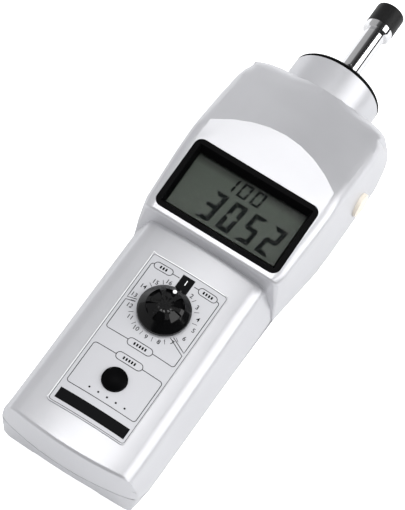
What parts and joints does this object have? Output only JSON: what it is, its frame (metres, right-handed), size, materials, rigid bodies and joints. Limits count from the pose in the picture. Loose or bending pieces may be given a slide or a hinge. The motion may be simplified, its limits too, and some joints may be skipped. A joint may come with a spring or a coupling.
{
  "type": "contact tachometer",
  "caption": "Hand-held contact tachometer with a moulded case, liquid crystal display, rotary selector, push buttons and a spindle in ball bearings with a rubber contact tip.",
  "frame": {"origin": "on the flat back, on the centre line, below the step between the handle and the display head", "axes": "+Z out of the front face that holds the display and the selector, +Y along the instrument towards the contact tip, +X towards the measure button in the right-hand side wall"},
  "size_m": [0.0633, 0.2116, 0.0418],
  "materials": {
    "case_paint": "satin silver paint over moulded plastic",
    "black_plastic": "fine matt black moulded plastic",
    "white_plastic": "white moulded plastic",
    "ivory_plastic": "ivory moulded plastic",
    "clear_window": "clear polished plastic window",
    "lcd_glass": "grey-green liquid crystal glass",
    "label_film": "printed silver-grey film",
    "elastomer": "layered contact elastomer",
    "board_green": "green solder mask",
    "switch_body": "black moulded plastic",
    "cell_jacket": "plain printed jacket",
    "aluminium": "turned aluminium",
    "bright_steel": "bright turned steel",
    "dark_steel": "blackened steel",
    "bearing_steel": "ground bearing steel",
    "chrome": "bright chrome plating",
    "brass": "turned brass",
    "rubber": "moulded black rubber"
  },
  "bodies": {
    "housing": {"front_case": "case_paint", "rear_case": "case_paint", "nose_sleeve": "case_paint", "nose_cap": "black_plastic", "case_screws": "dark_steel", "display_bezel": "black_plastic", "window_lens": "clear_window", "lcd_panel": "lcd_glass", "lcd_holder": "white_plastic", "zebra_strips": "elastomer", "display_board": "board_green", "faceplate_label": "label_film", "selector_switch": "switch_body", "memory_switch": "switch_body", "measure_switch": "switch_body", "switch_board": "board_green", "main_board": "board_green", "board_chips": "switch_body", "board_screws": "bright_steel", "sensor_board": "board_green", "photo_interrupter": "switch_body", "batteries": "cell_jacket", "battery_springs": "bright_steel", "battery_contacts": "bright_steel", "bearing_housing": "aluminium", "housing_screws": "dark_steel", "bearing_outer_rings": "bearing_steel"},
    "shaft": {"spindle": "bright_steel", "bearing_inner_rings": "bearing_steel", "bearing_spacer": "aluminium", "retaining_ring": "dark_steel", "encoder_disc": "black_plastic", "disc_hub": "brass"},
    "ball_sets": {"bearing_balls": "chrome"},
    "adaptor": {"adaptor_sleeve": "chrome", "rubber_tip": "rubber"},
    "selector": {"selector_knob": "black_plastic", "knob_dot": "white_plastic", "switch_shaft": "bright_steel"},
    "memory_key": {"memory_button": "black_plastic"},
    "measure_key": {"measure_button": "ivory_plastic"},
    "cover": {"battery_cover": "black_plastic"}
  },
  "joints": [
    {"name": "spindle_spin", "type": "hinge", "parent": "housing", "child": "shaft", "pos_m": [0, 0.06, 0.0182], "axis": [0, 1, 0], "continuous": true},
    {"name": "ball_roll", "type": "hinge", "parent": "housing", "child": "ball_sets", "pos_m": [0, 0.0742, 0.0182], "axis": [0, 1, 0], "continuous": true},
    {"name": "adaptor_pull", "type": "slide", "parent": "shaft", "child": "adaptor", "axis": [0, 1, 0], "range_m": [0, 0.022]},
    {"name": "selector_turn", "type": "hinge", "parent": "housing", "child": "selector", "pos_m": [0, -0.0276, 0.034], "axis": [0, 0, 1], "continuous": true},
    {"name": "memory_press", "type": "slide", "parent": "housing", "child": "memory_key", "axis": [0, 0, -1], "range_m": [0, 0.001], "stiffness_N_per_m": 1200, "springref_m": -0.0005},
    {"name": "measure_press", "type": "slide", "parent": "housing", "child": "measure_key", "axis": [-1, 0, 0], "range_m": [0, 0.0012], "stiffness_N_per_m": 1200, "springref_m": -0.0005},
    {"name": "cover_slide", "type": "slide", "parent": "housing", "child": "cover", "axis": [0, -1, 0], "range_m": [0, 0.058]}
  ],
  "couplings": [
    {"joint": "ball_roll", "follows": "spindle_spin", "ratio": 0.368}
  ]
}
